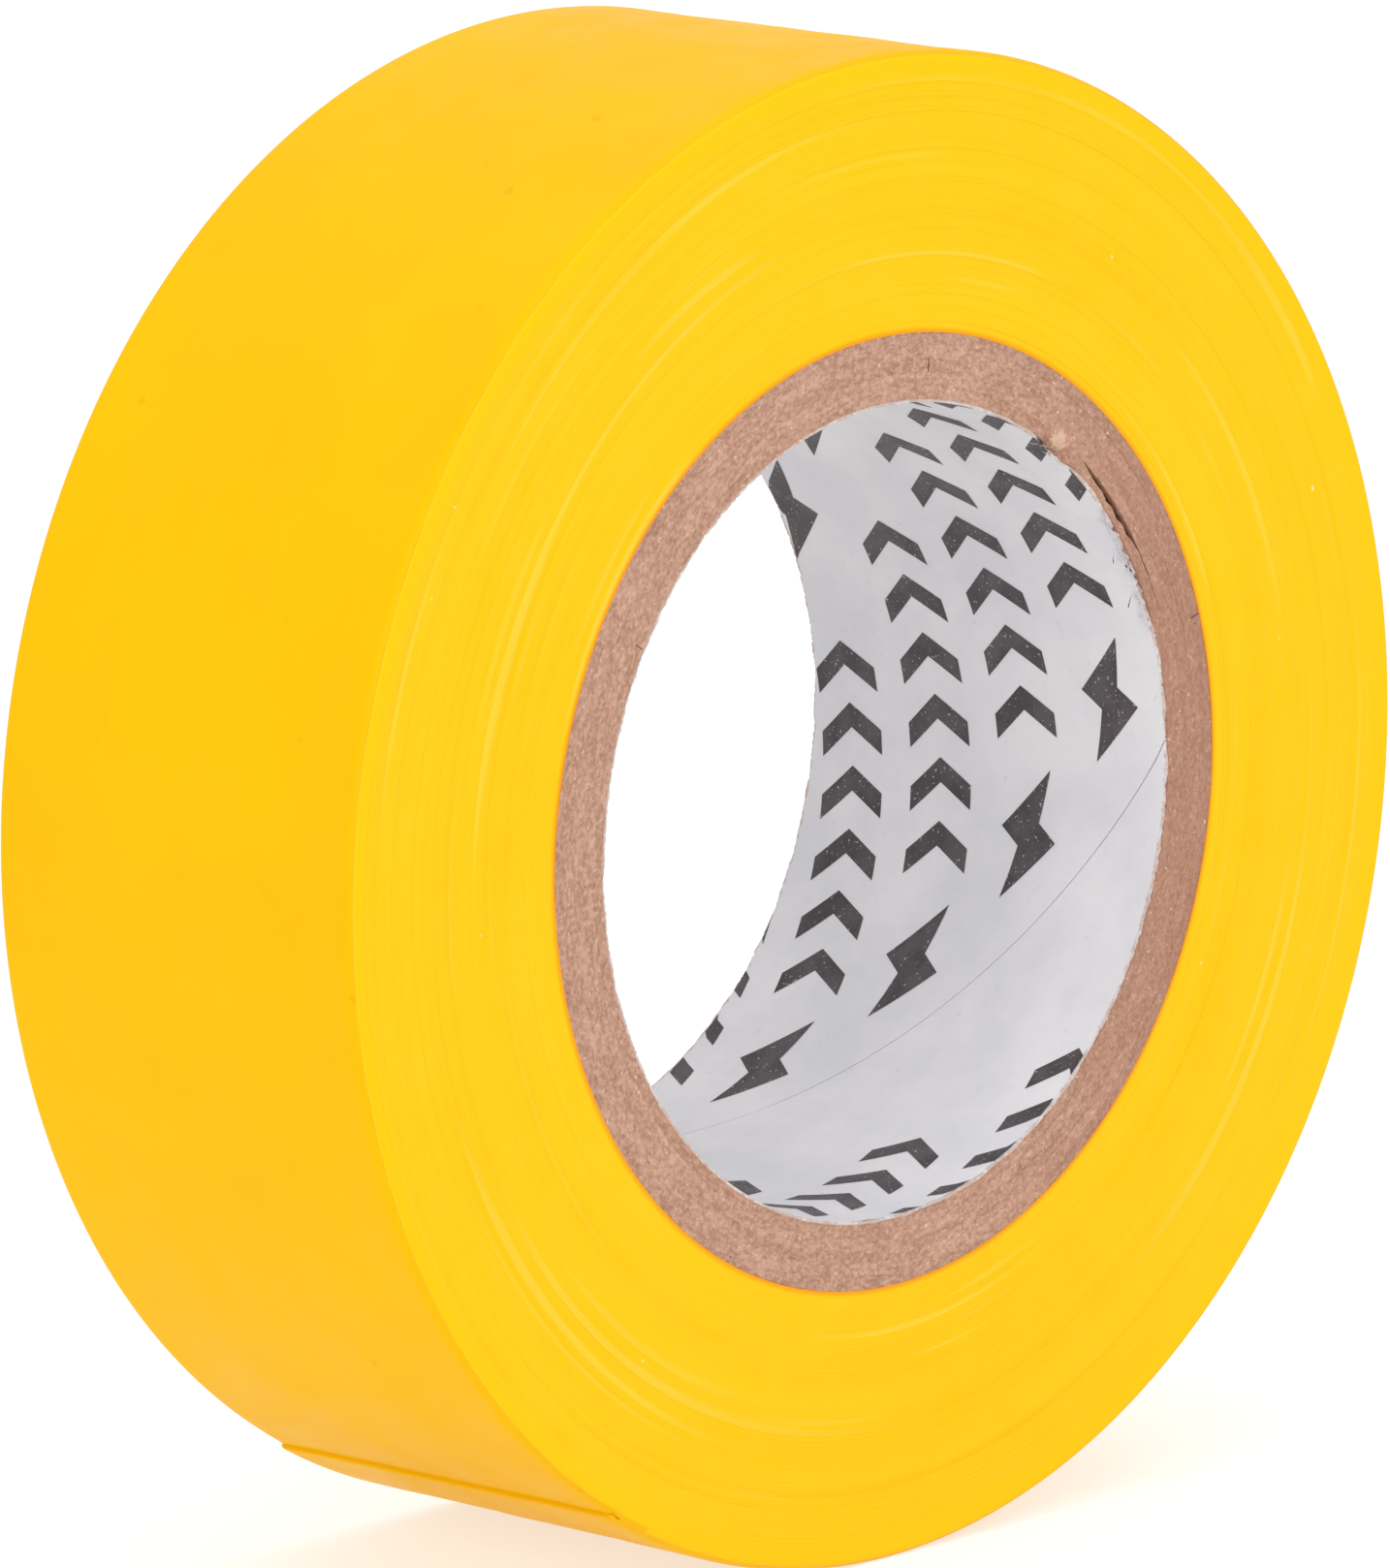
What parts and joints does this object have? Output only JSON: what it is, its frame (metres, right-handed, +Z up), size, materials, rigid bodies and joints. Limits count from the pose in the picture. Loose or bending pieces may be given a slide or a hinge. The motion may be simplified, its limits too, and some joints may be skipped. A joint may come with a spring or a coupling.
{
  "type": "electrical tape roll",
  "caption": "Roll of yellow PVC electrical tape wound on a paper-lined kraft board core, with a free end that lifts.",
  "frame": {"origin": "centre of the bore at mid-width", "axes": "+Y along the bore, from the side facing the viewer to the far side; +Z up as the roll stands on its rim"},
  "size_m": [0.0589, 0.019, 0.059],
  "materials": {
    "tape_film": "satin calendered PVC",
    "tape_sides": "slit edges of many turns, matte with fine rings",
    "tape_adhesive": "tacky rubber adhesive",
    "kraft_board": "cut end grain of kraft paper plies",
    "liner_paper": "white paper printed in dark grey"
  },
  "bodies": {
    "roll": {"core_liner": "liner_paper", "core_ply_1": "kraft_board", "core_ply_2": "kraft_board", "core_ply_3": "kraft_board", "core_ply_4": "kraft_board", "core_ply_5": "kraft_board", "tape_winding": "tape_sides", "outer_turn_film": "tape_film", "outer_turn_adhesive": "tape_adhesive"},
    "free_end": {"free_end_film": "tape_film", "free_end_adhesive": "tape_adhesive"}
  },
  "joints": [
    {"name": "free_end_lift", "type": "hinge", "parent": "roll", "child": "free_end", "pos_m": [-0.0085, 0, -0.02833], "axis": [0, -1, 0], "range_deg": [0, 30]}
  ]
}
